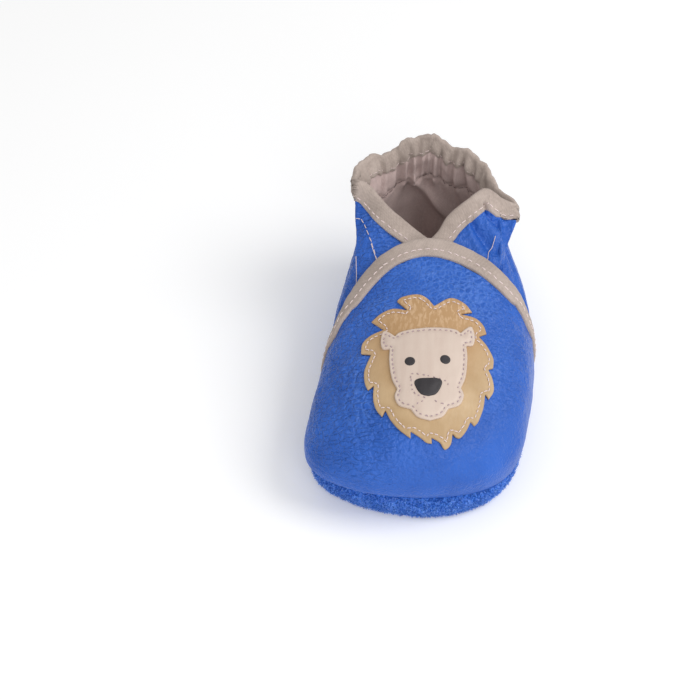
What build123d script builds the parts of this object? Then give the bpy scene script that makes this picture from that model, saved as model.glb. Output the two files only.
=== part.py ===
from build123d import *
import os
from math import cos, radians, sin

import numpy as np

# A soft baby bootie for a left foot: a suede sole turned up to a seam all round, a vamp over
# the toes with a lion's face sewn on, and a heel piece whose two wings tuck under the vamp
# and whose top edge is gathered on an elastic.
#
# Millimetres. +Z is up, the toe points along -Y, the big toe is on the -X side, and the
# origin is on the floor, under the middle of the bootie's box.

# ---------------------------------------------------------------- driving dimensions

# The last, from the floor up. Each row is a level cut through the outside of the upper:
# height, toe y, heel y, half width, y of the widest point, and how blunt the toe and the
# heel are (0.5 is an ellipse, less is blunter, more is more pointed).
LAST = [
    (0.0, -60.5, 60.0, 30.0, -36.0, 0.30, 0.36),
    (8.0, -63.5, 63.0, 33.6, -36.0, 0.30, 0.36),
    (18.0, -65.0, 65.0, 35.6, -34.0, 0.31, 0.37),
    (26.0, -62.0, 65.0, 34.4, -26.0, 0.37, 0.38),
    (33.0, -54.0, 64.5, 31.2, -8.0, 0.50, 0.40),
    (40.0, -34.0, 64.0, 27.6, 14.0, 0.66, 0.42),
    (46.0, -7.0, 63.2, 25.0, 30.0, 0.78, 0.42),
    (50.0, 16.5, 62.6, 23.6, 38.0, 0.85, 0.42),
    (54.0, 27.0, 62.0, 22.8, 40.0, 0.85, 0.42),
    (62.0, 34.0, 61.0, 22.0, 44.0, 0.80, 0.42),
    (70.0, 40.0, 60.0, 21.2, 47.0, 0.80, 0.42),
]
# The foot's centre line in plan is a parabola that swings towards the big toe.
AXIS_X = 2.1
AXIS_STRAIGHT_Y = 8.0
AXIS_SWING = 0.0017

# The vamp's rear edge, the throat, in plan: a parabola that leans, so that it comes further
# forward on the big toe's side.
THROAT_TOP = (-0.4, 19.2)
THROAT_SWEEP = 0.0185
THROAT_LEAN = 0.0002

# The collar: a V notch in plan behind the throat, then a rim that rises to the heel.
NOTCH_TIP = (0.1, 21.6)
NOTCH_SPREAD = 0.9
NOTCH_FLOOR_Z = 49.0
RIM_FRONT = (26.0, 53.0)
RIM_SIDE = (42.0, 56.0)
RIM_HEEL = (66.0, 62.6)
COLLAR_BACK_Y = 40.0

# Materials and layers.
SEAM_Z = 8.0
SEAM_ALLOWANCE = 5.0
SEAM_LIP = 1.5
SUEDE = 1.5
LEATHER = 1.2
LINING = 0.45
TAPE = 0.6
GAP = 0.05
TAPE_WIDTH = 6.0
FOAM = 3.4
SOCK = 0.8
WING_DEPTH = 3.1
WING_TUCK = 12.0
WING_RISE = 25.0
WING_SLIT = 1.2
CASING_TOP = 2.5
CASING_BOTTOM = 15.0
CASING_ROOM = 0.9
ELASTIC = 0.7
ELASTIC_WIDTH = 9.0

# The lion's face lies on a tilted plane and is cut from there straight into the vamp.
FACE_CENTRE = (1.6, -34.0, 40.0)
FACE_TILT = 16.0
APPLIQUE = 0.9
EYE_RADIUS = 1.6
EYE_SPACING = 5.6
EYE_HEIGHT = 4.5
# The face sits a little askew: its own axes, in the plane's axes.
FACE_ACROSS = (cos(radians(7)), sin(radians(7)))
FACE_UP = (-sin(radians(3.4)), cos(radians(3.4)))

# Sewing thread.
THREAD = 0.2
STITCH = 2.6
SMALL_STITCH = 2.0
STITCH_SHARE = 0.7
STITCH_INSET = 4.4

# Half of the face's outline, from the middle of the brow down the right side to the chin.
FACE_BROW = [(0.0, 17.4), (5.5, 17.1), (9.0, 16.6), (10.3, 15.4)]
FACE_EAR = [(10.3, 15.4), (12.2, 17.4), (13.9, 18.2), (15.0, 14.5), (14.6, 11.4), (12.1, 10.7)]
FACE_CHEEK = [(12.1, 10.7), (12.3, 5.8), (11.6, -1.0), (10.0, -5.4)]
FACE_JOWL = [(10.0, -5.4), (10.8, -8.2), (9.4, -11.5), (5.9, -13.1)]
FACE_CHIN = [(5.9, -13.1), (3.8, -15.6), (0.0, -16.7)]
NOSE_HALF = [(0.0, -2.0), (3.0, -2.4), (4.3, -3.8), (3.3, -6.0), (0.0, -8.4)]

# The mane's locks, clockwise from the parting: each is the lock's outer edge, and a straight
# cut joins its end to the start of the next lock.
MANE_LOCKS = [
    [(0.7, 26.4), (5.8, 29.8), (10.4, 28.2), (13.1, 25.4)],
    [(9.4, 24.2), (14.1, 23.5), (16.8, 21.3), (18.0, 18.4)],
    [(15.5, 17.1), (18.1, 14.4), (20.4, 10.1), (20.5, 6.2)],
    [(18.9, 5.3), (20.4, 2.0), (20.9, -2.2), (19.4, -5.7)],
    [(18.2, -4.2), (17.8, -9.1), (16.4, -14.2), (15.1, -16.2)],
    [(13.9, -15.0), (12.6, -18.4), (10.8, -21.0), (9.3, -21.0)],
    [(8.4, -20.1), (8.0, -23.5), (6.2, -25.4), (4.5, -23.5), (1.9, -22.4)],
    [(2.1, -24.2), (0.4, -24.1), (-1.6, -22.8), (-4.7, -21.1)],
    [(-4.6, -23.3), (-8.2, -20.8), (-11.0, -17.7), (-13.0, -14.0)],
    [(-13.9, -16.3), (-16.0, -13.4), (-17.1, -9.4), (-17.2, -4.4)],
    [(-19.0, -6.0), (-20.2, -2.8), (-20.5, 2.0), (-18.7, 8.1)],
    [(-22.1, 9.1), (-21.8, 13.2), (-19.4, 16.0), (-15.3, 17.7)],
    [(-19.3, 21.0), (-16.5, 23.8), (-12.6, 25.3), (-7.9, 24.4)],
    [(-11.5, 28.2), (-9.9, 29.8), (-5.0, 30.6), (-1.8, 29.2), (0.7, 26.4)],
]

# ---------------------------------------------------------------- the last's surface

LEVELS = [0, 4, 8, 13, 18, 22, 26, 30, 33, 36.5, 40, 43, 46, 48, 50, 52, 54, 57, 60, 63, 66]
RING_POINTS = 36
FAR = 200.0


def smooth(points):
    """A function whose curve runs through these points and never overshoots."""
    xs, ys = (np.array(values, float) for values in zip(*points))
    steps = np.diff(xs)
    rises = np.diff(ys) / steps
    slopes = np.zeros(len(xs))
    slopes[0], slopes[-1] = rises[0], rises[-1]
    for i in range(1, len(xs) - 1):
        if rises[i - 1] * rises[i] > 0:
            before = 2 * steps[i] + steps[i - 1]
            after = steps[i] + 2 * steps[i - 1]
            slopes[i] = (before + after) / (before / rises[i - 1] + after / rises[i])

    def value(x):
        row = np.clip(np.searchsorted(xs, x) - 1, 0, len(xs) - 2)
        step = steps[row]
        t = (x - xs[row]) / step
        return ((1 + 2 * t) * (1 - t) ** 2 * ys[row] + t * (1 - t) ** 2 * step * slopes[row]
                + t * t * (3 - 2 * t) * ys[row + 1] + t * t * (t - 1) * step * slopes[row + 1])

    return value


LAST_COLUMNS = [smooth([(row[0], row[i]) for row in LAST]) for i in range(1, 7)]


def axis_x(y):
    """The centre line in plan."""
    return AXIS_X - AXIS_SWING * (y - AXIS_STRAIGHT_Y) ** 2


def on_last(turn, z):
    """Points of the outer face: turn is 0 at the toe, +90 degrees at +X, 180 at the heel."""
    toe, heel, half, widest, toe_bluntness, heel_bluntness = (read(z) for read in LAST_COLUMNS)
    ahead = np.cos(turn)
    front = widest - (widest - toe) * np.abs(ahead) ** (2 * toe_bluntness)
    back = widest + (heel - widest) * np.abs(ahead) ** (2 * heel_bluntness)
    y = np.where(ahead > 0, front, back)
    return np.stack([half * np.sin(turn) + axis_x(y), y, z + 0 * turn], axis=-1)


def outward(turn, z):
    """The outer face's normals."""
    around = on_last(turn + 1e-3, z) - on_last(turn - 1e-3, z)
    upward = on_last(turn, z + 1e-2) - on_last(turn, z - 1e-2)
    normal = np.cross(around, upward)
    return normal / np.linalg.norm(normal, axis=-1, keepdims=True)


def sunk(turn, level, depth):
    """Points at this height, this deep under the outer face; depth may vary by place."""
    z = np.full_like(turn, float(level))
    for _ in range(12):
        outer = on_last(turn, z)
        deep = depth(outer) if callable(depth) else np.full_like(z, depth)
        point = outer - deep[:, None] * outward(turn, z)
        z = z + level - point[:, 2]
    point[:, 2] = level
    return point


def even_turns(level, count):
    """Turns that space points evenly round the last, starting at the heel."""
    fine = np.linspace(-np.pi, np.pi, 1441)
    ring = on_last(fine, np.full_like(fine, float(level)))
    run = np.concatenate([[0.0], np.cumsum(np.linalg.norm(np.diff(ring, axis=0), axis=1))])
    return np.interp(np.linspace(0, run[-1], count, endpoint=False), run, fine)


def loaf(depth):
    """The solid inside the last's surface, sunk by this depth."""
    knots = [i / RING_POINTS for i in range(RING_POINTS + 1)]
    sections = []
    for level in LEVELS:
        points = sunk(even_turns(level, RING_POINTS), level, depth)
        edge = Edge.make_spline([Vector(*p) for p in points], periodic=True, parameters=knots)
        sections.append(Wire([edge]))
    return Solid.make_loft(sections)


def layer(outer_depth, inner_depth):
    """A shell between two depths."""
    return loaf(outer_depth) - loaf(inner_depth)


# ---------------------------------------------------------------- where pieces end

def slab(low, high):
    """Everything between two heights."""
    return Pos(0, 0, (low + high) / 2) * Box(FAR, FAR, high - low)


def throat_y(x):
    """The vamp's rear edge in plan."""
    across = x - THROAT_TOP[0]
    return THROAT_TOP[1] - THROAT_SWEEP * across ** 2 + THROAT_LEAN * across ** 3


def throat_slope(x):
    """How steeply the throat's line runs in plan."""
    across = x - THROAT_TOP[0]
    return -2 * THROAT_SWEEP * across + 3 * THROAT_LEAN * across ** 2


def ahead_of_throat(distance):
    """Everything further towards the toe than a line this far ahead of the throat."""
    points = []
    for x in range(-56, 57, 8):
        slope = throat_slope(x)
        length = (1 + slope * slope) ** 0.5
        points.append((x + distance * slope / length, throat_y(x) - distance / length))
    corners = [points[-1], (FAR, points[-1][1]), (FAR, -FAR), (-FAR, -FAR)]
    corners += [(-FAR, points[0][1]), points[0]]
    outline = Wire([Edge.make_spline(points)] + Polyline(*corners).edges())
    return Pos(0, 0, -FAR / 4) * extrude(Face(outline), FAR, dir=(0, 0, 1))


def notch(grow):
    """The V notch between the wings, widened by this much."""
    lean = (1 + NOTCH_SPREAD ** 2) ** 0.5 / NOTCH_SPREAD
    tip_x, tip_y = NOTCH_TIP[0], NOTCH_TIP[1] - grow * lean
    back = COLLAR_BACK_Y - grow / 2
    half = (back - tip_y) * NOTCH_SPREAD
    plan = Polyline((tip_x, tip_y), (tip_x + half, back), (tip_x - half, back), close=True)
    return Pos(0, 0, NOTCH_FLOOR_Z - grow) * extrude(make_face(plan), FAR, dir=(0, 0, 1))


def over_rim(grow):
    """Everything above the collar's rim, lowered by this much."""
    (front_y, front_z), (side_y, side_z), (heel_y, heel_z) = RIM_FRONT, RIM_SIDE, RIM_HEEL
    profile = Polyline((front_y - grow, FAR), (front_y - grow, front_z - grow),
                       (side_y, side_z - grow), (heel_y, heel_z - grow),
                       (FAR, heel_z - grow), (FAR, FAR), close=True)
    return extrude(Plane.YZ * make_face(profile), FAR / 2, both=True)


def opening(grow):
    """The foot's way in, widened by this much."""
    return notch(grow) + over_rim(grow)


def rim_z(y):
    """Height of the collar's rim."""
    ys, zs = zip(RIM_FRONT, RIM_SIDE, RIM_HEEL)
    return np.interp(y, ys, zs)


# ---------------------------------------------------------------- depths of the layers

def ease(t):
    """0 below 0, 1 above 1, smooth between."""
    t = np.clip(t, 0, 1)
    return t * t * (3 - 2 * t)


def under_vamp(point):
    """How deep the heel piece lies: tucked under the vamp in front, flush behind."""
    behind = point[:, 1] - throat_y(point[:, 0])
    return WING_DEPTH * (1 - ease(behind / WING_RISE))


def casing_room(point):
    """How far the lining stands off the leather, to make the elastic's channel."""
    below = rim_z(point[:, 1]) - point[:, 2]
    at_back = ease((point[:, 1] - COLLAR_BACK_Y + 4) / 4)
    opened = ease((below - CASING_TOP) / 2) * ease((CASING_BOTTOM - below) / 2)
    return CASING_ROOM * at_back * opened


def heel_depth(extra):
    """Depth of a layer that follows the heel leather."""
    return lambda point: under_vamp(point) + extra


def lining_depth(extra):
    """Depth of a layer that follows the heel lining, round the elastic's channel."""
    return lambda point: under_vamp(point) + LEATHER + GAP + casing_room(point) + extra


# ---------------------------------------------------------------- sole

def make_outsole():
    """A suede dish whose edge turns in along the seam."""
    dish = (loaf(0.0) & slab(0, SEAM_Z)) - (loaf(SUEDE) & slab(SUEDE, SEAM_Z))
    return dish + (layer(0.0, SEAM_ALLOWANCE) & slab(SEAM_Z - SEAM_LIP, SEAM_Z))


def make_insole(bottom, thickness):
    """A sheet that fills the dish."""
    return loaf(SUEDE + GAP) & slab(bottom, bottom + thickness)


# ---------------------------------------------------------------- upper

def in_front(distance):
    """The vamp's part of the bootie, above the seam."""
    return ahead_of_throat(distance) & slab(SEAM_Z, FAR / 2)


def make_vamp(outer_depth, thickness):
    """A sheet over the toes, from the seam to the throat."""
    return layer(outer_depth, outer_depth + thickness) & in_front(0)


def make_vamp_binding():
    """Tape folded over the vamp's rear edge."""
    cloth = LEATHER + GAP + LINING
    tape = layer(-GAP - TAPE, cloth + GAP + TAPE) & (in_front(-TAPE - GAP) - in_front(TAPE_WIDTH))
    return tape - (layer(-GAP, cloth + GAP) & in_front(-GAP))


def behind_wing_fronts():
    """The heel piece's part: from its wings, tucked under the vamp, round the heel."""
    wings_apart = Pos(NOTCH_TIP[0], 0, FAR / 2) * Box(WING_SLIT, 2 * COLLAR_BACK_Y, FAR)
    return slab(SEAM_Z, FAR / 2) - ahead_of_throat(WING_TUCK) - wings_apart


def make_heel(outer_depth, inner_depth):
    """A sheet round the heel, from the seam to the collar."""
    return (layer(outer_depth, inner_depth) & behind_wing_fronts()) - opening(0)


def make_collar_binding():
    """Tape folded over the whole edge of the heel piece."""
    edge = opening(TAPE_WIDTH) - opening(-TAPE - GAP)
    tape = layer(heel_depth(-GAP - TAPE), lining_depth(LINING + GAP + TAPE)) & edge
    tape = tape & behind_wing_fronts()
    return tape - (layer(heel_depth(-GAP), lining_depth(LINING + GAP)) - opening(-GAP))


def make_elastic():
    """A flat elastic in the channel between the heel leather and its lining."""
    top = CASING_TOP + 2
    band = over_rim(top + ELASTIC_WIDTH) - over_rim(top)
    behind = Pos(0, COLLAR_BACK_Y + FAR / 2, 0) * Box(FAR, FAR, FAR)
    start = LEATHER + GAP
    return layer(heel_depth(start), heel_depth(start + ELASTIC)) & band & behind


# ---------------------------------------------------------------- lion's face

FACE_PLANE = Plane(origin=FACE_CENTRE, x_dir=(1, 0, 0),
                   z_dir=(0, -sin(radians(FACE_TILT)), cos(radians(FACE_TILT))))


def askew(points):
    """Points given in the face's own axes, in the plane's axes."""
    return [(a * FACE_ACROSS[0] + b * FACE_UP[0], a * FACE_ACROSS[1] + b * FACE_UP[1])
            for a, b in points]


def outline(runs):
    """A closed outline: a curve along each run, and straight cuts between the runs."""
    edges = []
    for run, following in zip(runs, runs[1:] + runs[:1]):
        edges.append(Edge.make_spline([Vector(*p) for p in run]))
        if run[-1] != following[0]:
            edges.append(Edge.make_line(Vector(*run[-1]), Vector(*following[0])))
    return Wire(edges)


def mirrored(halves):
    """The runs of a symmetric outline from those of its right half."""
    left = [[(-a, b) for a, b in reversed(run)] for run in reversed(halves)]
    return [askew(run) for run in halves + left]


def cut_through(wire):
    """The tool that cuts an outline out of the layers under the face's plane."""
    return FACE_PLANE * (Pos(0, 0, -FAR / 8) * extrude(Face(wire), FAR / 4, dir=(0, 0, 1)))


def patch(wire, level, thickness=APPLIQUE):
    """A leather patch of this outline, on top of this many others."""
    bottom = -GAP - level * (APPLIQUE + GAP)
    return layer(bottom - thickness, bottom) & cut_through(wire) & slab(SEAM_Z, FAR / 2)


def eye_wire(side):
    """The outline of one eye."""
    centre = askew([(side * EYE_SPACING, EYE_HEIGHT)])[0]
    return Wire([Edge.make_circle(EYE_RADIUS, Plane(origin=(*centre, 0)))])


MANE_WIRE = outline(MANE_LOCKS)
FACE_WIRE = outline(mirrored([FACE_BROW, FACE_EAR, FACE_CHEEK, FACE_JOWL, FACE_CHIN]))
NOSE_WIRE = outline(mirrored([NOSE_HALF]))

# ---------------------------------------------------------------- stitching


def surface_line(beyond, depth):
    """The line where a measure changes sign on the last, sunk by a depth.

    The measure is negative low on the last and positive high up. The line runs from one side
    of the bootie to the other, and leaves out the places where the measure doesn't change.
    """
    turns = np.linspace(-np.pi, np.pi, 721)
    low = np.full_like(turns, SEAM_Z + 1)
    high = np.full_like(turns, LAST[-1][0] - 4)
    crosses = (beyond(on_last(turns, low)) < 0) & (beyond(on_last(turns, high)) > 0)
    turns, low, high = turns[crosses], low[crosses], high[crosses]
    for _ in range(40):
        middle = (low + high) / 2
        above = beyond(on_last(turns, middle)) > 0
        low, high = np.where(above, low, middle), np.where(above, middle, high)
    outer = on_last(turns, low)
    deep = depth(outer) if callable(depth) else np.full_like(low, depth)
    return outer - deep[:, None] * outward(turns, low)


def stitches(line, pitch, closed=False):
    """Short lengths of thread along a line of points, as separate solids."""
    if closed:
        line = np.vstack([line, line[:1]])
    run = np.concatenate([[0.0], np.cumsum(np.linalg.norm(np.diff(line, axis=0), axis=1))])
    count = int(run[-1] // pitch)
    pieces = []
    for i in range(count):
        ends = [np.array([np.interp(s, run, line[:, k]) for k in range(3)])
                for s in (i * run[-1] / count, (i + STITCH_SHARE) * run[-1] / count)]
        along = Vector(*(ends[1] - ends[0]))
        if along.length > pitch / 4:
            plane = Plane(origin=Vector(*ends[0]), z_dir=along)
            pieces.append(plane * Cylinder(THREAD, along.length, align=(Align.CENTER,) * 2
                                           + (Align.MIN,)))
    return pieces


def patch_stitches(wire, inset, level, pitch):
    """Stitches inside a patch's edge, lying on top of it."""
    inner = wire.offset_2d(-inset)
    inner = max(inner.wires(), key=lambda w: w.length)
    depth = -GAP - (level + 1) * (APPLIQUE + GAP) - THREAD
    points = []
    for i in range(400):
        flat = FACE_PLANE.from_local_coords(inner.position_at(i / 400))
        points.append(dropped(np.array(tuple(flat)), depth))
    return stitches(np.array(points), pitch, closed=True)


def dropped(flat, depth):
    """The point of the surface at this depth, straight under a point of the face's plane."""
    down = np.array(tuple(FACE_PLANE.z_dir))
    turn, z, reach = np.array([0.0]), np.array([flat[2]]), 0.0
    for _ in range(60):
        point = (on_last(turn, z) - depth * outward(turn, z))[0]
        miss = flat + reach * down - point
        across = (on_last(turn + 1e-3, z) - on_last(turn, z))[0] / 1e-3
        upward = (on_last(turn, z + 1e-3) - on_last(turn, z))[0] / 1e-3
        change = np.linalg.lstsq(np.stack([across, upward, -down], axis=1), miss, rcond=None)[0]
        turn, z, reach = turn + change[0], z + change[1], reach + change[2]
    return point


def from_throat(distance):
    """Positive behind a line this far ahead of the throat."""
    def measure(point):
        x, y = point[:, 0], point[:, 1]
        return (y - throat_y(x)) / np.sqrt(1 + throat_slope(x) ** 2) + distance
    return measure


def from_rim(distance):
    """Positive above a line this far below the collar's edge."""
    def measure(point):
        x, y, z = point[:, 0], point[:, 1], point[:, 2]
        lean = (1 + NOTCH_SPREAD ** 2) ** 0.5
        in_notch = ((y - NOTCH_TIP[1]) * NOTCH_SPREAD - np.abs(x - NOTCH_TIP[0])) / lean
        above = np.where(y > RIM_FRONT[0] - distance, z - rim_z(y), -FAR)
        return np.maximum(np.where(y < COLLAR_BACK_Y, in_notch, -FAR), above) + distance
    return measure


def from_casing(point):
    """Positive above the bottom of the elastic's channel."""
    return point[:, 2] - rim_z(point[:, 1]) + CASING_BOTTOM


def behind(line, limit):
    """The part of a line round the heel that lies behind this y, from end to end."""
    kept = line[:, 1] > limit
    last_left_out = np.flatnonzero(~kept)[-1]
    return np.roll(line, -last_left_out - 1, axis=0)[:kept.sum()]


def make_sole_seam():
    """The thread under the turned-in edge of the sole."""
    level = SEAM_Z - SEAM_LIP - GAP - THREAD
    return stitches(sunk(even_turns(level, 240), level, SEAM_ALLOWANCE * 0.6), STITCH * 1.5, True)


# ---------------------------------------------------------------- the pieces

def build():
    """Every piece, by name."""
    foam_z = SUEDE + GAP
    tape_top = -GAP - TAPE - GAP - THREAD
    casing_line = behind(surface_line(from_casing, heel_depth(-GAP - THREAD)), COLLAR_BACK_Y)
    return {
        "outsole": make_outsole(),
        "insole_foam": make_insole(foam_z, FOAM),
        "insole_cover": make_insole(foam_z + FOAM + GAP, SOCK),
        "vamp_leather": make_vamp(0.0, LEATHER),
        "vamp_lining": make_vamp(LEATHER + GAP, LINING),
        "vamp_binding": make_vamp_binding(),
        "heel_leather": make_heel(heel_depth(0.0), heel_depth(LEATHER)),
        "heel_lining": make_heel(lining_depth(0.0), lining_depth(LINING)),
        "collar_binding": make_collar_binding(),
        "collar_elastic": make_elastic(),
        "mane_applique": patch(MANE_WIRE, 0),
        "face_applique": patch(FACE_WIRE, 1),
        "eye_left": patch(eye_wire(-1), 2, APPLIQUE / 2),
        "eye_right": patch(eye_wire(1), 2, APPLIQUE / 2),
        "nose": patch(NOSE_WIRE, 2, APPLIQUE / 2),
        "mane_stitching": patch_stitches(MANE_WIRE, 1.6, 0, SMALL_STITCH),
        "face_stitching": patch_stitches(FACE_WIRE, 1.2, 1, SMALL_STITCH),
        "vamp_binding_stitching": stitches(surface_line(from_throat(STITCH_INSET), tape_top), STITCH),
        "collar_binding_stitching": stitches(
            surface_line(from_rim(STITCH_INSET), heel_depth(tape_top)), STITCH),
        "casing_stitching": stitches(casing_line, STITCH),
        "sole_seam_stitching": make_sole_seam(),
    }


os.makedirs("parts", exist_ok=True)
for name, piece in build().items():
    solid = Compound(children=piece) if isinstance(piece, list) else piece
    export_step(solid, f"parts/{name}.step")
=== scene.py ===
from math import cos, pi, radians, sin

import bpy
import numpy as np
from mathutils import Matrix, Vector, noise
from mathutils.geometry import delaunay_2d_cdt


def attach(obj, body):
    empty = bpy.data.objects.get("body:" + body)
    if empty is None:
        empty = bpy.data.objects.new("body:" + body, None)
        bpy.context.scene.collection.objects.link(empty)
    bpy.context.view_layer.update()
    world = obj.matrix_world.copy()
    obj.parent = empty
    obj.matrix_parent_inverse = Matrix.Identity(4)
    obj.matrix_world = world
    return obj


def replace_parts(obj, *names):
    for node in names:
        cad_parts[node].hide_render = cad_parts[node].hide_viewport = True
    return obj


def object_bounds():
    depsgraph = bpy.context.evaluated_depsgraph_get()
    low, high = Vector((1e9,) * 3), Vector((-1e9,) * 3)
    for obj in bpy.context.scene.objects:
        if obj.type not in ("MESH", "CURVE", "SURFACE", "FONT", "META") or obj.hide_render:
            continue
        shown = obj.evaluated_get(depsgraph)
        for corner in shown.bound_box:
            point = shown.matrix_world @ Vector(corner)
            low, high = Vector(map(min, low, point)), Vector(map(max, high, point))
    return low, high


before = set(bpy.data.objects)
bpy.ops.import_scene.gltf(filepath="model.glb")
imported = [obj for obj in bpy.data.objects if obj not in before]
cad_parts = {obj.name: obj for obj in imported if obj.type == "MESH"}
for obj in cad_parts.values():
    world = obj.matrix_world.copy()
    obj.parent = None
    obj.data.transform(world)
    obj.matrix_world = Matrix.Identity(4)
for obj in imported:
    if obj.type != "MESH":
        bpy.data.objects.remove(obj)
cad_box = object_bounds()

# A soft baby bootie around its CAD frame. Shapes are worked out in millimetres and turned into
# metres as each mesh is made. +Z is up, the toe points along -Y, the big toe is at -X.
MM = 0.001

# ---------------------------------------------------------------- the last

# The CAD model's last, row by row: height, toe y, heel y, half width, y of the widest point,
# and how blunt the toe and the heel are.
LAST = [
    (0.0, -60.5, 60.0, 30.0, -36.0, 0.30, 0.36),
    (8.0, -63.5, 63.0, 33.6, -36.0, 0.30, 0.36),
    (18.0, -65.0, 65.0, 35.6, -34.0, 0.31, 0.37),
    (26.0, -62.0, 65.0, 34.4, -26.0, 0.37, 0.38),
    (33.0, -54.0, 64.5, 31.2, -8.0, 0.50, 0.40),
    (40.0, -34.0, 64.0, 27.6, 14.0, 0.66, 0.42),
    (46.0, -7.0, 63.2, 25.0, 30.0, 0.78, 0.42),
    (50.0, 16.5, 62.6, 23.6, 38.0, 0.85, 0.42),
    (54.0, 27.0, 62.0, 22.8, 40.0, 0.85, 0.42),
    (62.0, 34.0, 61.0, 22.0, 44.0, 0.80, 0.42),
    (70.0, 40.0, 60.0, 21.2, 47.0, 0.80, 0.42),
]
AXIS_X = 2.1
AXIS_STRAIGHT_Y = 8.0
AXIS_SWING = 0.0017


def smooth(points):
    """A function that runs through these (x, y) points without overshooting."""
    xs, ys = (np.array(values, float) for values in zip(*points))
    steps = np.diff(xs)
    rises = np.diff(ys) / steps
    slopes = np.zeros(len(xs))
    slopes[0], slopes[-1] = rises[0], rises[-1]
    for i in range(1, len(xs) - 1):
        if rises[i - 1] * rises[i] > 0:
            before = 2 * steps[i] + steps[i - 1]
            after = steps[i] + 2 * steps[i - 1]
            slopes[i] = (before + after) / (before / rises[i - 1] + after / rises[i])

    def value(x):
        x = np.clip(x, xs[0], xs[-1])
        row = np.clip(np.searchsorted(xs, x) - 1, 0, len(xs) - 2)
        step = steps[row]
        t = (x - xs[row]) / step
        return ((1 + 2 * t) * (1 - t) ** 2 * ys[row] + t * (1 - t) ** 2 * step * slopes[row]
                + t * t * (3 - 2 * t) * ys[row + 1] + t * t * (t - 1) * step * slopes[row + 1])

    return value


COLUMNS = [smooth([(row[0], row[i]) for row in LAST]) for i in range(1, 7)]


def rounded(share, power):
    """|share| to a power, made straight near 0 so that it has a slope there."""
    near = 0.1
    size = np.abs(share)
    return size * ((size * size + near * near) / (1 + near * near)) ** ((power - 1) / 2)


def on_last(turn, z):
    """Points of the last: turn is 0 at the toe, +90 degrees at +X, 180 at the heel."""
    toe, heel, half, widest, toe_bluntness, heel_bluntness = (column(z) for column in COLUMNS)
    ahead = np.cos(turn)
    front = widest - (widest - toe) * rounded(ahead, 2 * toe_bluntness)
    back = widest + (heel - widest) * rounded(ahead, 2 * heel_bluntness)
    y = np.where(ahead > 0, front, back)
    x = half * np.sin(turn) + AXIS_X - AXIS_SWING * (y - AXIS_STRAIGHT_Y) ** 2
    return np.stack([x, y, z + 0 * turn], axis=-1)


def directions(turn, z, reach=0.006):
    """The last's outward normals, and how its points move with turn and with height."""
    rise = 0.01
    around = (on_last(turn + reach, z) - on_last(turn - reach, z)) / (2 * reach)
    upward = (on_last(turn, z + rise) - on_last(turn, z - rise)) / (2 * rise)
    normal = np.cross(around, upward)
    return normal / np.linalg.norm(normal, axis=-1, keepdims=True), around, upward


def ease(t):
    """0 below 0, 1 above 1, smooth between."""
    t = np.clip(t, 0, 1)
    return t * t * (3 - 2 * t)


def wrapped(turn):
    """A turn brought between -180 and 180 degrees, and in degrees."""
    return np.degrees((turn + pi) % (2 * pi) - pi)


# ---------------------------------------------------------------- lines on the last

# The sole's seam, how far the leather and the lining reach below it, and how far both stop short
# of an edge that tape is folded over.
SEAM_Z = 9.0
SEAM_HIDDEN = 1.0
LINING_HIDDEN = 3.6
EDGE_HIDDEN = 1.4
# The vamp's rear edge in plan: a parabola that leans towards the toe on the big toe's side.
THROAT_TOP = (-0.4, 19.2)
THROAT_SWEEP = 0.0185
THROAT_LEAN = 0.0002
# Where the heel piece's wings end under the vamp, as degrees of turn and height.
WING_FRONT = smooth([(0, 48.3), (25, 46), (45, 42), (62, 36), (76, 30), (88, 21), (97, 9)])
# The collar's edge, as degrees round from the heel, positive on the outer side, and height.
COLLAR = smooth([(-190, 50.7), (-178, 51.3), (-165, 51.9), (-153, 52.3), (-139, 52.7), (-126, 53.6),
                 (-114, 54.9), (-100, 56.2), (-86, 56.8), (-72, 57.8), (-60, 57.8), (-44, 55.6),
                 (-31, 56.6), (-25, 59.2), (-17, 60.6), (-9, 60.8), (-2, 62.0), (5, 62.6), (12, 60.8),
                 (25, 57.8), (36, 58.9), (49, 56.9), (62, 55.8), (72, 53.8), (80, 51.6), (86, 50.2),
                 (91, 49.8), (97, 50.9), (104, 52.6), (111, 54.4), (118, 56.2), (125, 57.8),
                 (132, 58.4), (140, 58.0), (149, 57.1), (158, 55.9), (168, 54.3), (177, 52.3),
                 (182, 51.5), (190, 50.3)])


def throat_heights():
    """The vamp's rear edge, as degrees of turn and height."""
    turns = np.arange(-125.0, 125.5, 0.5)
    low, high = np.full(len(turns), SEAM_Z - 4), np.full(len(turns), 62.0)
    for _ in range(40):
        middle = (low + high) / 2
        x, y, _ = on_last(np.radians(turns), middle).T
        across = x - THROAT_TOP[0]
        behind = y > THROAT_TOP[1] - THROAT_SWEEP * across ** 2 + THROAT_LEAN * across ** 3
        low, high = np.where(behind, low, middle), np.where(behind, middle, high)
    return turns, high


THROAT_TURNS, THROAT_HEIGHTS = throat_heights()
VAMP_ENDS = THROAT_TURNS[THROAT_HEIGHTS > SEAM_Z][[0, -1]]


def throat_z(turn):
    return np.interp(wrapped(turn), THROAT_TURNS, THROAT_HEIGHTS)


def heel_turn(around):
    """The last's turn for degrees round from the heel."""
    return pi - np.radians(around)


# ---------------------------------------------------------------- how far surfaces stand off

LEATHER = 1.0
LINING = 0.35
LAYERS = LEATHER + LINING
TAPE = 0.5
# The space between leather and lining: under the tape, and how much is added away from it.
GAP = 0.05
LINING_SLACK = 0.5
# How deep the wings lie under the vamp, and over what distance they come up behind it.
TUCK = 3.0
TUCK_LENGTH = 22.0
# The crease along the seam.
CREASE = 1.5

# How much the sole and the bottom of the upper are drawn in under the toe, by turn.
TOE_TUCK = smooth([(-180, 0), (-100, 0), (-84, 0.8), (-66, 2.6), (-42, 4.6), (-15, 4.0), (14, 2.2),
                   (45, 0.8), (70, 0), (180, 0)])
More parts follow.
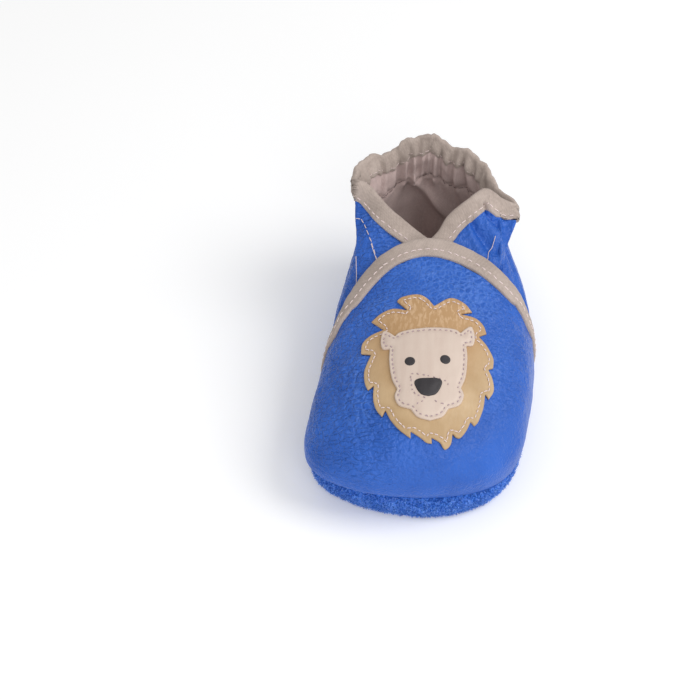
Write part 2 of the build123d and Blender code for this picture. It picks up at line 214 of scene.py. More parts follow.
# The collar's corners flare where the elastic ends: the outer one turns out as a short flap.
FLARE = smooth([(-140, 0), (-112, 1.2), (-96, 4.0), (-88, 5.0), (-78, 4.2), (-62, 2.0), (-40, 0.4),
                (0, 0), (60, -0.3), (74, -0.6), (80, 0.4), (86, 3.8), (91, 5.0), (97, 4.2),
                (104, 2.4), (111, 1.2), (120, 0.6), (135, 0)])
# How far the outer side is hollow under its flap, round from the heel and by height.
HOLLOW = 4.2
HOLLOW_CENTRE = (84.0, 43.5)
# Where the gathered casing is pinched, as degrees round from the heel.
PINCHES = [-82, -70, -48, -28, -17, 3, 13, 22, 35, 50, 66, 78]
GATHER_ENDS = (-100, 90)
# Narrow folds in the gathers, as degrees round from the heel.
FOLDS = np.array([-90, -84, -76, -62, -47, -36, -28, -22, -13, 2, 7, 12, 24, 33, 42, 51, 60, 68, 76])
FOLD_DEPTH = 0.8
# How far the elastic's casing reaches below the collar's edge.
CASING = smooth([(-190, 8), (-120, 8), (-60, 13), (0, 16.5), (60, 13), (120, 8), (190, 8)])
# How far the layers stand off between two pinches: below the tape, and at the rim.
LEATHER_PUFF = 1.1
LINING_PUFF = 1.5
RIM_PUFF = 0.5
# How many degrees round and millimetres down there are to one ripple.
PLEATS = (5.5, 26.0)
CRUMPLES = (8.0, 3.2)
# Creases in the outer wing, below the end of the elastic: lines of degrees and heights.
WING_CREASES = [
    [(147, 52.4), (141, 50.4), (134, 48.9), (126, 47.6), (118, 46.6)],
    [(134, 54.6), (130, 52.0), (124, 50.2), (117, 49.0)],
    [(126, 45.8), (118, 44.2), (110, 43.4)],
]
# A drape in the heel's lining, as degrees and heights, and its pleats, as degrees and how far each
# stands in.
LINING_FOLD = [(-14, 45.0), (-4, 40.0), (10, 33.0), (24, 25.0)]
LINING_PLEATS = [(-32, 0.7), (-22, 0.9), (-13, 1.4), (-4, 0.9), (2, 1.7), (8, 1.3), (14, 1.1), (27, 0.8)]
# About how many millimetres there are to a degree round the heel.
DEGREE = 0.42


def noise_at(points, size, seed=0.0):
    """Soft noise, about -1 to 1, whose blobs are about this many millimetres across."""
    flat = points.reshape(-1, 3) / size + seed
    return np.array([noise.noise(p) for p in flat]).reshape(points.shape[:-1])


def ripples(u, v, seed):
    """Noise over two measures, a unit of each to a ripple."""
    return noise_at(np.stack([u, v, 0 * u], axis=-1), 1.0, seed)


def under_vamp(turn, z):
    """How deep the wings lie: tucked under the vamp in front, flush behind."""
    edge = throat_z(turn)
    behind = np.linalg.norm(on_last(turn, z) - on_last(turn, edge), axis=-1)
    behind = np.where(z < edge, 0, behind)
    return TUCK * (1 - ease(behind / TUCK_LENGTH))


def drawn_in(turn, z):
    """How far the surface is drawn in near the sole's seam."""
    crease = CREASE * np.exp(-((z - SEAM_Z) / CREASE) ** 2)
    return TOE_TUCK(wrapped(turn)) * (1 - ease((z - SEAM_Z) / 7)) + crease


def puffs(around):
    """0 where the casing is pinched and 1 midway between two pinches."""
    edges = np.array([GATHER_ENDS[0], *PINCHES, GATHER_ENDS[1]], float)
    row = np.clip(np.searchsorted(edges, around) - 1, 0, len(edges) - 2)
    t = np.clip((around - edges[row]) / (edges[row + 1] - edges[row]), 0, 1)
    inside = (around > edges[0]) & (around < edges[-1])
    return np.where(inside, np.sin(pi * t) ** 0.7, 0)


def elastic_pull(around):
    """1 where the elastic gathers the collar, 0 along the wings."""
    return ease((around - GATHER_ENDS[0]) / 12) * ease((GATHER_ENDS[1] - around) / 6)


def gathered(around, z, side):
    """How far a layer stands off between the pinches. Side is 1 for the leather, -1 for the lining."""
    below = COLLAR(around) - z
    under_tape = ease(below / 5)
    amount = RIM_PUFF + (LEATHER_PUFF - RIM_PUFF) * under_tape
    if side < 0:
        amount = RIM_PUFF - (LINING_PUFF + RIM_PUFF) * under_tape
    fade = 1 - ease((below - CASING(around) + 2) / 12)
    pleats = ripples(around / PLEATS[0], below / PLEATS[1], 3.0) * (0.4 + 0.75 * under_tape * (side < 0))
    crumple = ripples(around / CRUMPLES[0], below / CRUMPLES[1], 11.0) * 0.36
    lean = around + 0.25 * below * np.sin(around / 13)
    nearest = np.abs(lean[..., None] - FOLDS).min(-1)
    folded = -FOLD_DEPTH * max(side, 0) * np.exp(-(nearest / 1.5) ** 2) * (0.4 + 0.6 * under_tape)
    return elastic_pull(around) * fade * (amount * puffs(around) + pleats + crumple + folded)


def flared(around, z):
    """How far the collar's edge stands out."""
    below = COLLAR(around) - z
    return FLARE(around) * (1 - ease(below / np.where(around > 0, 10, 17)))


def line_distance(points, line):
    """How far points are from an open line, in a plane."""
    best = np.full(points.shape[:-1], 1e9)
    for start, end in zip(line, line[1:]):
        step = end - start
        t = np.clip(((points - start) @ step) / max(step @ step, 1e-9), 0, 1)
        best = np.minimum(best, np.linalg.norm(points - start - t[..., None] * step, axis=-1))
    return best


def puckers(around, z):
    """The creases below the end of the elastic on the outer wing, with a puff beside each."""
    place = np.stack([around * DEGREE, z], axis=-1)
    total = np.zeros(around.shape)
    for crease in WING_CREASES:
        away = line_distance(place, np.array(crease) * [DEGREE, 1])
        total += 0.55 * np.exp(-((away - 1.6) / 0.9) ** 2) - 1.2 * np.exp(-(away / 0.6) ** 2)
    return total


def hollow(around, z):
    """How far the outer side is drawn in under its flap."""
    across, up = (around - HOLLOW_CENTRE[0]) / 22, (z - HOLLOW_CENTRE[1]) / 7
    under_rim = ease((COLLAR(around) - z - 2) / 4)
    return HOLLOW * np.exp(-across ** 2 - up ** 2) * under_rim


def heel_shell(around, z, depth, side=1):
    """Points of the heel piece's layers, this deep under its outer face."""
    turn = heel_turn(around)
    normal, _, _ = directions(turn, z)
    lower_wing = 2.3 * ease((-around - 138) / 30)
    out = (flared(around, z) + gathered(around, z, side) + puckers(around, z) - hollow(around, z)
           - under_vamp(turn, z) - lower_wing - drawn_in(turn, z) - depth)
    return on_last(turn, z) + out[..., None] * normal


def vamp_shell(turn, z, depth):
    """Points of the vamp's layers."""
    normal, _, _ = directions(turn, z)
    return on_last(turn, z) - (drawn_in(turn, z) + depth)[..., None] * normal


# ---------------------------------------------------------------- making meshes

def make_object(name, points, faces, material):
    """A smooth-shaded piece from points in millimetres."""
    mesh = bpy.data.meshes.new(name)
    faces = np.asarray(faces, np.int32)
    corners = faces.shape[1]
    mesh.vertices.add(len(points))
    mesh.vertices.foreach_set("co", (np.asarray(points, np.float32) * MM).ravel())
    mesh.loops.add(faces.size)
    mesh.loops.foreach_set("vertex_index", faces.ravel())
    mesh.polygons.add(len(faces))
    mesh.polygons.foreach_set("loop_start", np.arange(0, faces.size, corners, dtype=np.int32))
    mesh.polygons.foreach_set("use_smooth", np.ones(len(faces), bool))
    mesh.update(calc_edges=True)
    mesh.validate()
    mesh.materials.append(material)
    piece = bpy.data.objects.new(name, mesh)
    bpy.context.scene.collection.objects.link(piece)
    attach(piece, "root")
    return piece


def sheet_faces(rows, columns, start=0, flip=False, closed=False):
    """Four-cornered faces over a grid of points."""
    row = np.arange(rows - 1)[:, None] * columns
    across = np.arange(columns if closed else columns - 1)[None, :]
    after = (across + 1) % columns
    quads = np.stack([row + across, row + after, row + columns + after, row + columns + across], axis=-1)
    quads = quads.reshape(-1, 4) + start
    return quads[:, ::-1] if flip else quads


def grid_rim(rows, columns):
    """The numbers of a grid's outer points, in order."""
    index = np.arange(rows * columns).reshape(rows, columns)
    return np.concatenate([index[0, :-1], index[:-1, -1], index[-1, :0:-1], index[:0:-1, 0]])


def thick_sheet(name, outer, inner, material):
    """A closed piece between two grids of points."""
    rows, columns = outer.shape[:2]
    count = rows * columns
    faces = [sheet_faces(rows, columns), sheet_faces(rows, columns, count, flip=True)]
    rim = grid_rim(rows, columns)
    after = np.roll(rim, -1)
    faces.append(np.stack([after, rim, rim + count, after + count], axis=-1))
    points = np.concatenate([outer.reshape(-1, 3), inner.reshape(-1, 3)])
    return make_object(name, points, np.concatenate(faces), material)


def columns_between(turns, low, high, rows):
    """Turns and heights of a grid whose columns run up the last with even steps."""
    fine = np.linspace(0, 1, 240)[:, None]
    heights = low[None, :] + fine * (high - low)[None, :]
    points = on_last(np.broadcast_to(turns, heights.shape), heights)
    steps = np.linalg.norm(np.diff(points, axis=0), axis=-1)
    run = np.vstack([np.zeros(len(turns)), np.cumsum(steps, axis=0)])
    wanted = np.linspace(0, 1, rows)
    z = np.stack([np.interp(wanted * run[-1, i], run[:, i], heights[:, i]) for i in range(len(turns))],
                 axis=1)
    return np.broadcast_to(turns, z.shape), z


def run_along(points):
    """How far along a line each of its points is."""
    return np.concatenate([[0], np.cumsum(np.linalg.norm(np.diff(points, axis=0), axis=-1))])


def even_spread(turns, z, count):
    """Turns between the first and last of these that space points evenly along a line."""
    run = run_along(on_last(turns, z))
    return np.interp(np.linspace(0, run[-1], count), run, turns)


# How many points along a line count as near, where its loops are looked for.
LOOP_REACH = 60


def step_across(turn, z, distance):
    """Moves a line over the last, to its right as seen from outside."""
    edge = on_last(turn, z)
    steps = max(1, int(abs(distance) / 0.5))
    for _ in range(steps):
        normal, around, upward = directions(turn, z)
        along = np.gradient(on_last(turn, z), axis=0)
        side = np.cross(along, -normal)
        side /= np.linalg.norm(side, axis=-1, keepdims=True)
        aa, uu, au = ((p * q).sum(-1) for p, q in ((around, around), (upward, upward), (around, upward)))
        sa, su = (side * around).sum(-1), (side * upward).sum(-1)
        det = aa * uu - au * au
        turn = settle(turn + (sa * uu - su * au) / det * distance / steps)
        z = settle(z + (su * aa - sa * au) / det * distance / steps)
    # Where the line crosses itself it comes back towards the edge: those loops are cut straight.
    gaps = np.linalg.norm(on_last(turn, z)[:, None] - edge[None], axis=2)
    index = np.arange(len(turn))
    nearby = np.abs(index[:, None] - index[None]) < LOOP_REACH
    clear = np.where(nearby, gaps, np.inf).min(axis=1) > 0.9 * abs(distance) - 0.05
    return np.interp(index, index[clear], turn[clear]), np.interp(index, index[clear], z[clear])


def settle(values):
    """Evens out the small kinks of a line."""
    values = values.copy()
    values[1:-1] = (values[:-2] + 2 * values[1:-1] + values[2:]) / 4
    return values


def resampled(rows, count):
    """Points, and whatever is beside them in their rows, evenly spaced along the points."""
    run = run_along(rows[:, :3])
    wanted = np.linspace(0, run[-1], count)
    return np.stack([np.interp(wanted, run, column) for column in rows.T], axis=1)


def length_of(points):
    """How long a line of points is."""
    return np.linalg.norm(np.diff(points, axis=0), axis=-1).sum()


# ---------------------------------------------------------------- materials

def new_material(name):
    """A material and its Principled shader, with functions that add a node and link it to the shader."""
    material = bpy.data.materials.new(name)
    material.use_nodes = True
    tree = material.node_tree
    shader = tree.nodes["Principled BSDF"]

    def add(kind, inputs=None, **settings):
        node = tree.nodes.new("ShaderNode" + kind)
        for key, value in settings.items():
            setattr(node, key, value)
        for key, value in (inputs or {}).items():
            if isinstance(value, bpy.types.NodeSocket):
                tree.links.new(value, node.inputs[key])
            else:
                node.inputs[key].default_value = value
        return node

    def link(output, to):
        tree.links.new(output, shader.inputs[to])

    return material, shader, add, link


def ramp(add, value, stops):
    """A colour ramp over a value."""
    node = add("ValToRGB", {"Fac": value})
    elements = node.color_ramp.elements
    while len(elements) < len(stops):
        elements.new(0.5)
    for element, (place, colour) in zip(elements, stops):
        element.position = place
        element.color = (*colour, 1)
    return node.outputs["Color"]


def blended(add, factor, one, other):
    """Two colours mixed."""
    node = add("Mix", data_type="RGBA")
    for socket, value in ((0, factor), (6, one), (7, other)):
        if isinstance(value, bpy.types.NodeSocket):
            node.id_data.links.new(value, node.inputs[socket])
        else:
            node.inputs[socket].default_value = value if isinstance(value, float) else (*value, 1)
    return node.outputs[2]


def combined(add, how, first, *others):
    """Values put together one after another."""
    for other in others:
        first = add("Math", {0: first, 1: other}, operation=how).outputs[0]
    return first


def total(add, *values):
    return combined(add, "ADD", *values)


def product(add, *values):
    return combined(add, "MULTIPLY", *values)


def noise_node(add, place, scale, detail=2.0, **more):
    """A noise texture's value."""
    return add("TexNoise", {"Vector": place, "Scale": scale, "Detail": detail, **more}).outputs["Fac"]


def cells(add, place, scale, feature, **more):
    """A cell texture's distance."""
    return add("TexVoronoi", {"Vector": place, "Scale": scale, **more}, feature=feature).outputs["Distance"]


def bumped(add, link, height, strength, depth):
    """Gives the shader the normals of this height."""
    node = add("Bump", {"Height": height, "Strength": strength, "Distance": depth})
    link(node.outputs["Normal"], "Normal")


def between(add, value, low, high, to_low=0.0, to_high=1.0):
    """A value eased from one range to another."""
    node = add("MapRange", {"Value": value, "From Min": low, "From Max": high, "To Min": to_low,
                            "To Max": to_high}, interpolation_type="SMOOTHSTEP")
    return node.outputs[0]


def wandering(add, amount, scale):
    """The object's own coordinates, nudged about by noise."""
    place = add("TexCoord").outputs["Object"]
    wander = add("TexNoise", {"Vector": place, "Scale": scale, "Detail": 2.0}).outputs["Color"]
    moved = add("VectorMath", {0: wander, 1: (amount,) * 3}, operation="MULTIPLY").outputs[0]
    return place, add("VectorMath", {0: place, 1: moved}, operation="ADD").outputs[0]


def leather_height(add, place, moved, parts, grown):
    """The leather's pebbles, beads and pores, and stretched creases on the inner side."""
    pebbles = cells(add, moved, 620.0, "SMOOTH_F1", Smoothness=0.6)
    beads = cells(add, moved, 1500.0, "SMOOTH_F1", Smoothness=0.5)
    pores = noise_node(add, place, 2600.0, 3.0)
    height = product(add, combined(add, "SUBTRACT", 1.0, pebbles), grown)
    height = combined(add, "SUBTRACT", height, product(add, beads, 0.35))
    height = total(add, height, product(add, pores, 0.12))
    drawn = add("Mapping", {"Vector": moved, "Scale": (0.34, 0.9, 1.0)}).outputs[0]
    creases = cells(add, drawn, 640.0, "DISTANCE_TO_EDGE")
    inner_side = product(add, between(add, parts["X"], 0.002, -0.018),
                         between(add, parts["Z"], 0.012, 0.024))
    creased = product(add, between(add, creases, 0.2, 0.0), inner_side)
    return combined(add, "SUBTRACT", height, product(add, creased, 0.45)), pores


def leather_material():
    """Soft blue leather: rounded pebbles, with painted highlights along their borders where it faces straight
    up.
    """
    material, shader, add, link = new_material("blue_leather")
    place, moved = wandering(add, 0.0016, 260.0)
    parts = add("SeparateXYZ", {"Vector": place}).outputs
    calm = between(add, parts["Z"], 0.014, 0.034, 0.25, 1.0)
    grown = product(add, between(add, noise_node(add, place, 60.0), 0.36, 0.6, 0.45, 1.0), calm)
    height, pores = leather_height(add, place, moved, parts, grown)
    bumped(add, link, height, 1.0, 0.0006)
    base = ramp(add, noise_node(add, place, 70.0, 4.0),
                [(0.3, (0.018, 0.096, 0.44)), (0.7, (0.029, 0.13, 0.55))])
    # Painted highlight: the pebbles' borders are coloured lighter blue where the leather faces up, standing in
    # for light caught on their ridges.
    facing = add("SeparateXYZ", {"Vector": add("TexCoord").outputs["Normal"]}).outputs["Z"]
    grain = cells(add, moved, 520.0, "DISTANCE_TO_EDGE")
    border = product(add, between(add, grain, 0.22, 0.02), between(add, facing, 0.8, 0.98), grown, 0.3)
    link(blended(add, border, base, (0.14, 0.3, 0.8)), "Base Color")
    link(between(add, pores, 0.3, 0.7, 0.28, 0.46), "Roughness")
    shader.inputs["Specular IOR Level"].default_value = 0.32
    return material


def suede_material(name, dark, middle, light):
    """Split suede, mottled where its nap lies this way and that."""
    material, shader, add, link = new_material(name)
    place = add("TexCoord").outputs["Object"]
    fibres = noise_node(add, place, 1700.0, 3.0, Roughness=0.65)
    clumps, drifts = noise_node(add, place, 600.0), noise_node(add, place, 200.0)
    tone = total(add, product(add, clumps, 0.2), product(add, drifts, 0.1), product(add, fibres, 0.7))
    link(ramp(add, tone, [(0.42, dark), (0.5, middle), (0.58, light)]), "Base Color")
    bumped(add, link, total(add, fibres, clumps), 0.9, 0.0004)
    shader.inputs["Roughness"].default_value = 0.95
    shader.inputs["Specular IOR Level"].default_value = 0.1
    shader.inputs["Sheen Weight"].default_value = 0.25
    shader.inputs["Sheen Roughness"].default_value = 0.5
    shader.inputs["Sheen Tint"].default_value = (0.35, 0.55, 1.0, 1)
    return material


def cloth_material(name, dark, light, thread_scale):
    """A fine cotton twill in two close tones."""
    material, shader, add, link = new_material(name)
    place = add("TexCoord").outputs["Object"]
    turned = add("Mapping", {"Vector": place, "Rotation": (0.6, 0.5, 0.78)}).outputs[0]
    waves = [add("TexWave", {"Vector": turned, "Scale": thread_scale, "Distortion": 1.5, "Detail": 1.0,
                             "Detail Scale": 3.0}, bands_direction=axis).outputs["Fac"]
             for axis in ("X", "Y")]
    weave = product(add, *waves)
    soft, slubs = noise_node(add, place, 90.0, 5.0), noise_node(add, place, 1100.0)
    tone = total(add, product(add, weave, 0.12), product(add, soft, 0.6), product(add, slubs, 0.3))
    link(ramp(add, tone, [(0.3, dark), (0.68, light)]), "Base Color")
    bumped(add, link, total(add, weave, slubs), 0.5, 0.0001)
    shader.inputs["Roughness"].default_value = 0.92
    shader.inputs["Specular IOR Level"].default_value = 0.15
    shader.inputs["Sheen Weight"].default_value = 0.12
    return material


def mane_material():
    """Bronze leather, crushed, with painted highlights in streaks near the parting."""
    material, shader, add, link = new_material("bronze_leather")
    place = add("TexCoord").outputs["Object"]
    stretched = add("Mapping", {"Vector": place, "Scale": (1.0, 0.35, 0.35)}).outputs[0]
    streaks = noise_node(add, stretched, 1150.0, 4.0, Distortion=0.6)
    pores = noise_node(add, place, 2200.0, 3.0)
    soft = noise_node(add, place, 80.0, 3.0)
    base = ramp(add, soft, [(0.35, (0.47, 0.315, 0.165)), (0.6, (0.56, 0.395, 0.225))])
    height = add("SeparateXYZ", {"Vector": place}).outputs["Z"]
    # Painted highlight: lighter streaks near the top of the mane, standing in for light caught by the crushed
    # leather.
    crown = product(add, between(add, height, 0.041, 0.047), between(add, streaks, 0.45, 0.62), 0.6)
    tanned = blended(add, between(add, height, 0.036, 0.045, 0.0, 0.8), base, (0.46, 0.265, 0.12))
    link(blended(add, crown, tanned, (0.72, 0.5, 0.31)), "Base Color")
    bumped(add, link, total(add, streaks, product(add, pores, 0.4)), 0.35, 0.0003)
    link(between(add, streaks, 0.4, 0.65, 0.55, 0.38), "Roughness")
    shader.inputs["Specular IOR Level"].default_value = 0.4
    return material


def smooth_leather(name, dark, light, roughness):
    """Thin smooth leather, brushed one way."""
    material, _, add, link = new_material(name)
    place = add("TexCoord").outputs["Object"]
    brushed = add("Mapping", {"Vector": place, "Scale": (1.0, 0.12, 0.12)}).outputs[0]
    soft = noise_node(add, brushed, 420.0, 4.0)
    link(ramp(add, soft, [(0.35, dark), (0.65, light)]), "Base Color")
    bumped(add, link, noise_node(add, place, 2600.0, 3.0), 0.3, 0.0001)
    link(between(add, soft, 0.3, 0.7, roughness - 0.06, roughness + 0.06), "Roughness")
    return material


def thread_material(name, dark, light):
    """Twisted polyester thread."""
    material, shader, add, link = new_material(name)
    place = add("TexCoord").outputs["Object"]
    twist = add("TexWave", {"Vector": place, "Scale": 900.0, "Distortion": 2.0}, bands_direction="DIAGONAL"
                ).outputs["Fac"]
    link(ramp(add, twist, [(0.0, dark), (1.0, light)]), "Base Color")
    bumped(add, link, twist, 0.4, 0.0001)
    shader.inputs["Roughness"].default_value = 0.5
    return material


MATERIALS = {
    "leather": leather_material(),
    # The nap is a lighter copy of the suede: painted highlight on its fibres, and painted shade on the darker
    # wall between them; the mottle within each is the suede's own.
    "suede": suede_material("blue_suede", (0.018, 0.085, 0.38), (0.045, 0.17, 0.63), (0.11, 0.29, 0.86)),
    "nap": suede_material("blue_nap", (0.04, 0.15, 0.56), (0.1, 0.28, 0.82), (0.3, 0.52, 1.0)),
    "tape": cloth_material("twill_tape", (0.35, 0.285, 0.25), (0.54, 0.45, 0.4), 560.0),
    "lining": cloth_material("cotton_lining", (0.46, 0.35, 0.33), (0.62, 0.49, 0.465), 640.0),
    "mane_leather": mane_material(),
    "face_leather": smooth_leather("pale_leather", (0.62, 0.495, 0.42), (0.66, 0.54, 0.46), 0.5),
    "black_leather": smooth_leather("dark_leather", (0.02, 0.017, 0.02), (0.035, 0.03, 0.034), 0.5),
    "cut_edge": smooth_leather("cut_edge", (0.16, 0.09, 0.045), (0.24, 0.14, 0.07), 0.7),
    "thread": thread_material("thread", (0.62, 0.48, 0.46), (0.9, 0.78, 0.76)),
    "lining_thread": thread_material("lining_thread", (0.16, 0.11, 0.1), (0.3, 0.22, 0.21)),
    "fine_thread": thread_material("fine_thread", (0.32, 0.22, 0.25), (0.55, 0.42, 0.46)),
}

# ---------------------------------------------------------------- sole

# How far the dish stands out: all round, more at its middle height and at the toe, less at the
# outer front corner.
SOLE_BULGE = 0.6
MIDDLE_BULGE = 0.8
TOE_SPREAD = 1.3
CORNER_TUCK = 1.0
FIBRES = 34000
FIBRE_HALF_WIDTH = 0.09
# How far the insole's rim lies inside the last.
INSOLE_INSET = 3.6


def sole_wall(turn, z):
    """The outside of the suede dish, and its outward directions."""
    normal, _, _ = directions(turn, z)
    share = np.clip(z / SEAM_Z, 0, 1)
    spread = TOE_SPREAD * np.maximum(np.cos(turn), 0) ** 2 * (1 - share)
    spread = spread - CORNER_TUCK * np.exp(-((wrapped(turn) - 66) / 24) ** 2)
    bulge = SOLE_BULGE + MIDDLE_BULGE * np.sin(pi * share) + spread
    wall = on_last(turn, z) + (bulge - drawn_in(turn, z))[..., None] * normal
    lumps = 0.35 * noise_at(wall, 2.6) + 0.25 * noise_at(wall, 0.9, 4.0)
    wall += (lumps * ease(z / 1.5))[..., None] * normal
    wall[..., 2] = z
    return wall, normal


def sole_turns(count):
    """Turns right round, evenly spaced along the sole's wall."""
    fine = np.linspace(-pi, pi, 2881)
    return even_spread(fine, np.full(len(fine), 6.0), count)


def make_sole():
    """The suede dish: a flat bottom, a soft wall and an edge that turns in at the seam."""
    columns, rise = 700, 26
    turns = sole_turns(columns + 1)[:-1]
    z = np.linspace(0, SEAM_Z, rise)[:, None] + 0 * turns
    wall, normal = sole_wall(turns + 0 * z, z)
    floor_rings = np.stack([wall[0] * share for share in (0.02, 0.4, 0.8, 0.93, 0.985)])
    lip = wall[-1] - normal[-1] * 2.0
    inside = lip - np.array([0, 0, 3.0])
    rings = np.concatenate([floor_rings, wall, lip[None], inside[None]])
    faces = sheet_faces(len(rings), columns, closed=True)
    piece = make_object("suede_sole", rings.reshape(-1, 3), faces, MATERIALS["suede"])
    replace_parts(piece, "outsole", "sole_seam_stitching")


def make_nap():
    """The suede's fibres, standing off its wall in every direction."""
    count, rng = FIBRES, np.random.default_rng(5)
    turns = rng.choice(sole_turns(4000), count)
    z = rng.uniform(0.15, SEAM_Z - 0.3, count)
    roots, normal = sole_wall(turns, z)
    lean = rng.normal(0, 1, (count, 3))
    away = normal + 0.9 * lean
    away /= np.linalg.norm(away, axis=1, keepdims=True)
    side = np.cross(away, rng.normal(0, 1, (count, 3)))
    side /= np.linalg.norm(side, axis=1, keepdims=True)
    length = rng.uniform(0.35, 1.15, count)[:, None]
    curl = rng.normal(0, 0.25, (count, 3)) * length
    middles = roots + away * length * 0.5 + curl
    tips = roots + away * length
    half = side * FIBRE_HALF_WIDTH
    fine = side * FIBRE_HALF_WIDTH * 2 / 9
    points = np.stack([roots - half, roots + half, middles + half, middles - half, tips + fine, tips - fine],
                      axis=1)
    points[..., 2] = np.maximum(points[..., 2], 0.02)
    first = 6 * np.arange(count)[:, None]
    faces = np.concatenate([first + [0, 1, 2, 3], first + [3, 2, 4, 5]])
    make_object("suede_nap", points.reshape(-1, 3), faces, MATERIALS["nap"])


def make_insole():
    """The cloth-covered foam inside, crowned in the middle and rounded at its edge."""
    columns = 160
    turns = np.linspace(-pi, pi, columns, endpoint=False)
    level = np.full(columns, 8.0)
    rim = on_last(turns, level)
    rim -= (INSOLE_INSET + drawn_in(turns, level + 4))[:, None] * directions(turns, level)[0]
    section = [(0.02, 6.2), (0.5, 6.1), (0.85, 5.9), (0.96, 5.4), (1.0, 4.0), (0.96, 2.4), (0.02, 2.2)]
    rings = np.stack([np.column_stack([rim[:, :2] * share, np.full(columns, z)])
                      for share, z in reversed(section)])
    piece = make_object("insole", rings.reshape(-1, 3), sheet_faces(len(rings), columns, closed=True),
                        MATERIALS["lining"])
    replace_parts(piece, "insole_foam", "insole_cover")


# ---------------------------------------------------------------- upper

def edged_sheet(name, outer, normal, material):
    """The outside of a sheet, with its edge turned in by the sheet's thickness."""
    rows, columns = outer.shape[:2]
    rim = grid_rim(rows, columns)
    turned_in = (outer - LEATHER * normal).reshape(-1, 3)[rim]
    under = rows * columns + np.arange(len(rim))
    faces = [sheet_faces(rows, columns),
             np.stack([np.roll(rim, -1), rim, under, np.roll(under, -1)], axis=-1)]
    points = np.concatenate([outer.reshape(-1, 3), turned_in])
    return make_object(name, points, np.concatenate(faces), material)


def leather_relief(points, spread):
    """The leather's own surface: soft waves, creases spread sideways, and grain."""
    waves = noise_at(points, 9.0) * 0.28 + noise_at(points, 3.2, 5.0) * 0.08
    wrinkles = np.minimum(np.abs(noise_at(points * [0.35, 0.35, 1.0], 2.0, 20.0)) / 0.2, 1)
    grain = noise_at(points, 1.3, 8.0) * 0.05
    return waves + 0.2 * spread * (wrinkles - 1) + grain


PRESSED = 0.45


def fitted_relief(points, spread, z, below):
    """The leather's surface, pulled smooth at the sole's seam and pressed flat under the tape."""
    above_seam = ease((z - SEAM_Z - 0.5) / 4)
    relief = leather_relief(points, spread) * ease((below - 1) / 6) * above_seam
    return relief - PRESSED * (1 - ease((below - 3.5) / 1.5))


def vamp_grid(columns, rows, hidden):
    """Turns and heights over the whole vamp, from this far below the seam."""
    fine = np.linspace(*np.radians(VAMP_ENDS), 2000)
    turns = even_spread(fine, np.full(2000, 30.0), columns)
    low, high = np.full(columns, SEAM_Z - hidden), throat_z(turns) - EDGE_HIDDEN
    return columns_between(turns, low, high, rows)


def make_vamp():
    """The leather over the toes."""
    turns, z = vamp_grid(400, 215, SEAM_HIDDEN)
    smooth_outer = vamp_shell(turns, z, 0 * z)
    normal = directions(turns, z)[0]
    inner_side = ease((-smooth_outer[..., 0] - 2) / 18) * ease((smooth_outer[..., 2] - 11) / 8)
    relief = fitted_relief(smooth_outer, inner_side, z, throat_z(turns) - z)
    outer = smooth_outer + relief[..., None] * normal
    piece = edged_sheet("vamp", outer, normal, MATERIALS["leather"])
    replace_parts(piece, "vamp_leather")


def make_vamp_lining():
    """The cotton behind the vamp."""
    turns, z = vamp_grid(80, 44, LINING_HIDDEN)
    inner = vamp_shell(turns, z, LEATHER + LINING_SLACK + 0 * z)
    inside = vamp_shell(turns, z, LAYERS + LINING_SLACK + 0 * z)
    piece = thick_sheet("vamp_inside", inner, inside, MATERIALS["lining"])
    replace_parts(piece, "vamp_lining")


def heel_grid(columns, rows, hidden):
    """Angles round the heel and heights over the whole heel piece, from this far below the seam."""
    fine = np.linspace(-188, 188, 3000)
    turns = even_spread(heel_turn(fine), np.full(3000, 40.0), columns)
    around = np.degrees(pi - turns)
    low = np.maximum(SEAM_Z, WING_FRONT(np.abs(wrapped(turns)))) - hidden
    turns, z = columns_between(turns, low, COLLAR(around) - EDGE_HIDDEN, rows)
    return np.broadcast_to(around, z.shape), z


def make_heel():
    """The leather round the heel with its two wings."""
    around, z = heel_grid(700, 130, SEAM_HIDDEN)
    smooth_outer = heel_shell(around, z, 0 * z)
    normal = directions(heel_turn(around), z)[0]
    low_inner_side = ease((-around - 40) / 30) * ease((46 - z) / 8)
    relief = fitted_relief(smooth_outer, 0.3 + 1.2 * low_inner_side, z, COLLAR(around) - z)
    outer = smooth_outer + relief[..., None] * normal
    piece = edged_sheet("heel", outer, normal, MATERIALS["leather"])
    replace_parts(piece, "heel_leather", "collar_elastic")


def draped(around, z, below):
    """How far the heel's lining stands off, outwards, from its drape, pleats and soft waves."""
    drapes = ripples(around / 20, below / 50 + around / 40, 7.0) * 2.6 * ease((below - 12) / 10)
    place = np.stack([around * DEGREE, z], axis=-1)
    fold = line_distance(place, np.array(LINING_FOLD) * [DEGREE, 1])
    drapes = np.minimum(drapes, 0.3) - 2.4 * np.exp(-(fold / 2.2) ** 2)
    for pleat, height in LINING_PLEATS:
        reach = ease((below - 5) / 3) * ease((CASING(around) + 6 - below) / 7)
        drapes = drapes - height * reach * np.exp(-((around - pleat) / 2.0) ** 2)
    return drapes


def make_heel_lining():
    """The cotton behind the heel piece, with the casing's seam across it."""
    around, z = heel_grid(440, 90, LINING_HIDDEN)
    normal = directions(heel_turn(around), z)[0]
    below = COLLAR(around) - z
    inner = heel_shell(around, z, LEATHER + GAP + LINING_SLACK * ease((below - 6) / 3), side=-1)
    seam = 0.8 * np.exp(-((below - CASING(around)) / 0.8) ** 2) * elastic_pull(around)
    inner = inner + (seam + draped(around, z, below))[..., None] * normal
    piece = thick_sheet("heel_inside", inner, inner - LINING * normal, MATERIALS["lining"])
    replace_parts(piece, "heel_lining")


# ---------------------------------------------------------------- bindings

THROAT_TAPE_WIDTH = 6.8
COLLAR_TAPE_WIDTH = 6.0


